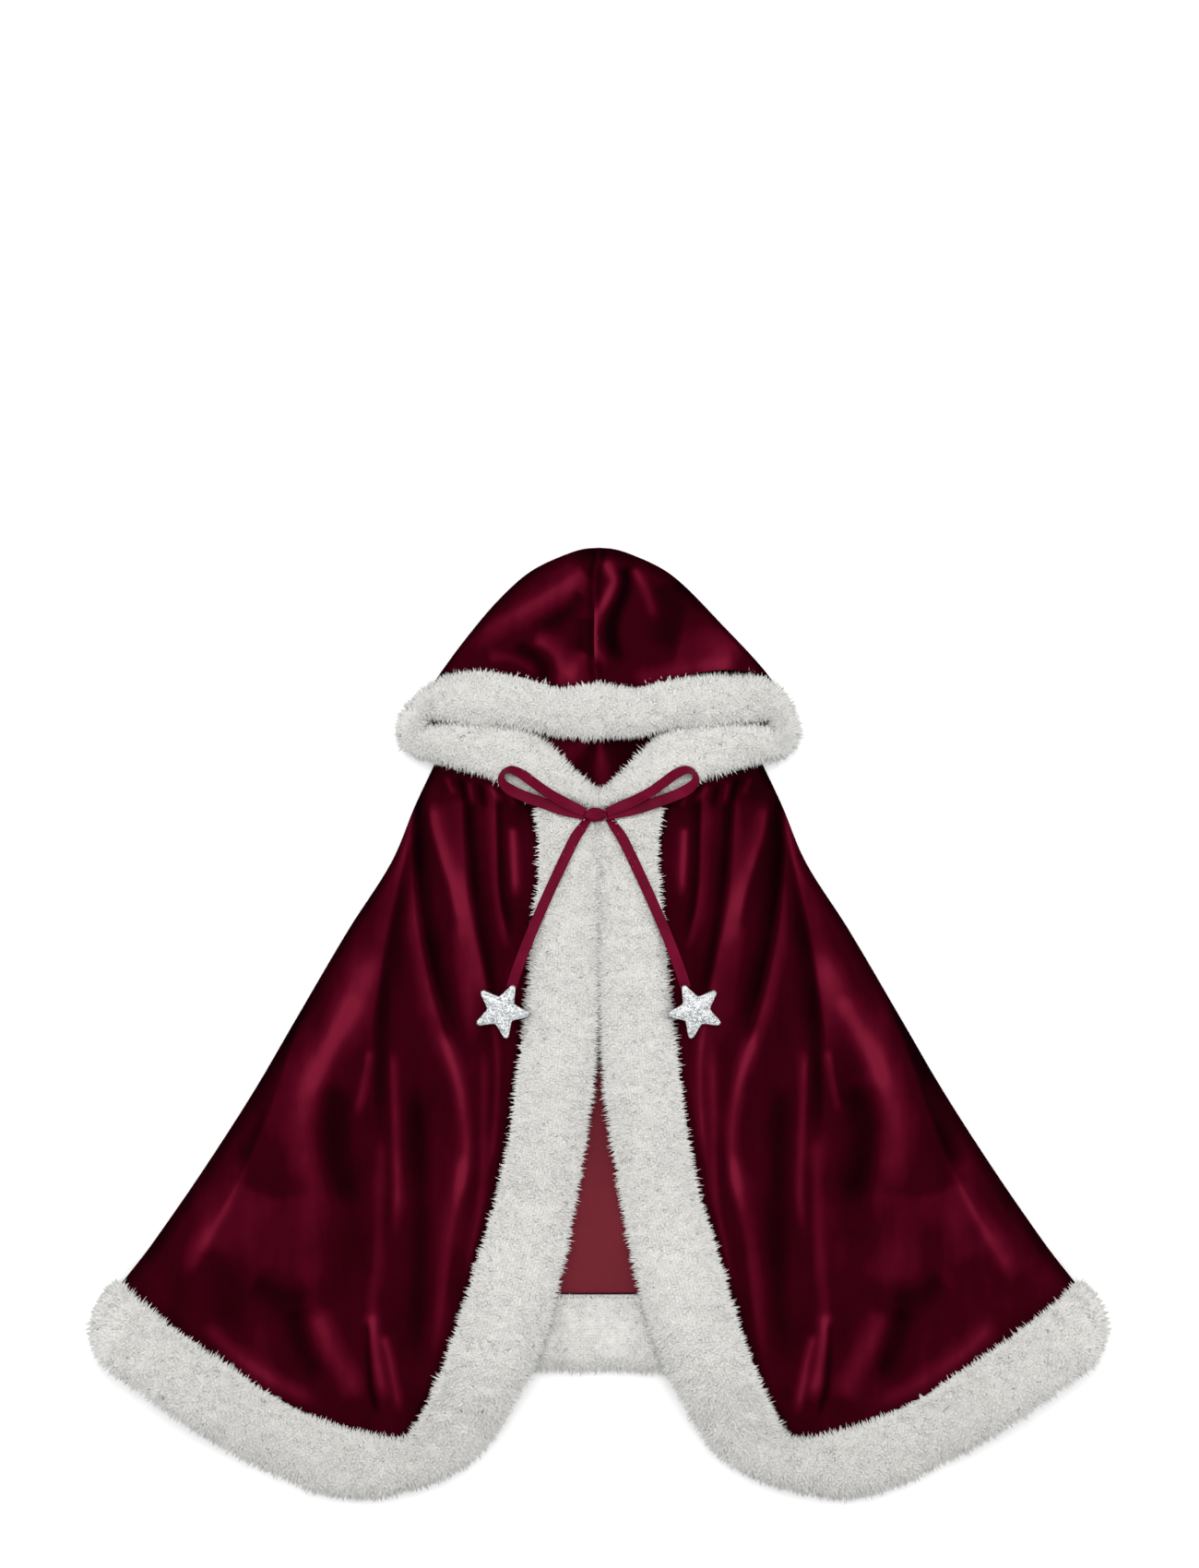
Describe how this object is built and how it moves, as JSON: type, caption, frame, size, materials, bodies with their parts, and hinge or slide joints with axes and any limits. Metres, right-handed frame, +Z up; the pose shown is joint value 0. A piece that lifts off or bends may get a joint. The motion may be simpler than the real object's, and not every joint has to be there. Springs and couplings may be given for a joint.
{
  "type": "hooded costume cape",
  "caption": "Child's hooded costume cape in dark red velvet, lined, edged with white faux fur and tied at the neck with a ribbon bow that ends in padded stars.",
  "frame": {"origin": "on the floor under the middle of the cape as it lies on its back, at the bottom centre of its box", "axes": "+X towards the wearer's left side as the cape lies face up, seen on the viewer's right; +Y from the hem to the hood; +Z up from the floor"},
  "size_m": [0.88, 0.8261, 0.0345],
  "materials": {
    "velvet": "crushed short-pile velvet, near black in the folds, wine red where the pile catches the light",
    "lining": "plain matt woven lining, dusty red",
    "white_fur": "thick white faux fur, short fuzzy tips",
    "satin_ribbon": "single-faced satin ribbon, wine red, soft shine",
    "silver_glitter": "silver glitter cloth, fine sparkling grain",
    "wadding": "white polyester wadding"
  },
  "bodies": {
    "back": {"back_velvet": "velvet", "nape_velvet": "velvet", "left_yoke_velvet": "velvet", "right_yoke_velvet": "velvet", "back_lining": "lining", "neck_binding": "lining", "nape_lining": "lining", "left_yoke_lining": "lining", "right_yoke_lining": "lining", "hem_fur": "white_fur", "left_collar_fur": "white_fur", "right_collar_fur": "white_fur", "left_lower_lip_fur": "white_fur", "right_lower_lip_fur": "white_fur", "knot": "satin_ribbon", "left_tie": "satin_ribbon", "right_tie": "satin_ribbon"},
    "left_front": {"left_front_velvet": "velvet", "left_front_lining": "lining", "left_front_fur": "white_fur", "left_front_hem_fur": "white_fur", "left_tail": "satin_ribbon"},
    "right_front": {"right_front_velvet": "velvet", "right_front_lining": "lining", "right_front_fur": "white_fur", "right_front_hem_fur": "white_fur", "right_tail": "satin_ribbon"},
    "left_star": {"left_star_back": "silver_glitter", "left_star_padding": "wadding", "left_star_front": "silver_glitter"},
    "right_star": {"right_star_back": "silver_glitter", "right_star_padding": "wadding", "right_star_front": "silver_glitter"},
    "left_loop": {"left_loop": "satin_ribbon"},
    "right_loop": {"right_loop": "satin_ribbon"},
    "hood": {"left_hood_velvet": "velvet", "right_hood_velvet": "velvet", "left_hood_lining": "lining", "right_hood_lining": "lining", "left_upper_lip_fur": "white_fur", "right_upper_lip_fur": "white_fur"}
  },
  "joints": [
    {"name": "left_front_fold", "type": "hinge", "parent": "back", "child": "left_front", "pos_m": [-0.0012, 0.163, 0.0215], "axis": [-0.6845, -0.7286, 0.0238], "range_deg": [0, 110]},
    {"name": "right_front_fold", "type": "hinge", "parent": "back", "child": "right_front", "pos_m": [0.0012, 0.163, 0.0215], "axis": [-0.6845, 0.7286, -0.0238], "range_deg": [0, 110]},
    {"name": "left_loop_lift", "type": "hinge", "parent": "back", "child": "left_loop", "pos_m": [-0.0133, 0.182, 0.0255], "axis": [0, 1, 0], "range_deg": [0, 35]},
    {"name": "right_loop_lift", "type": "hinge", "parent": "back", "child": "right_loop", "pos_m": [0.0083, 0.182, 0.0255], "axis": [0, -1, 0], "range_deg": [0, 35]},
    {"name": "left_star_turn", "type": "hinge", "parent": "left_front", "child": "left_star", "pos_m": [-0.075, 0.0305, 0.0236], "axis": [0, 0, 1], "range_deg": [-30, 30]},
    {"name": "right_star_turn", "type": "hinge", "parent": "right_front", "child": "right_star", "pos_m": [0.075, 0.0305, 0.0236], "axis": [0, 0, -1], "range_deg": [-30, 30]},
    {"name": "hood_fold", "type": "hinge", "parent": "back", "child": "hood", "pos_m": [0, 0.2505, 0.028], "axis": [1, 0, 0], "range_deg": [0, 100]}
  ]
}
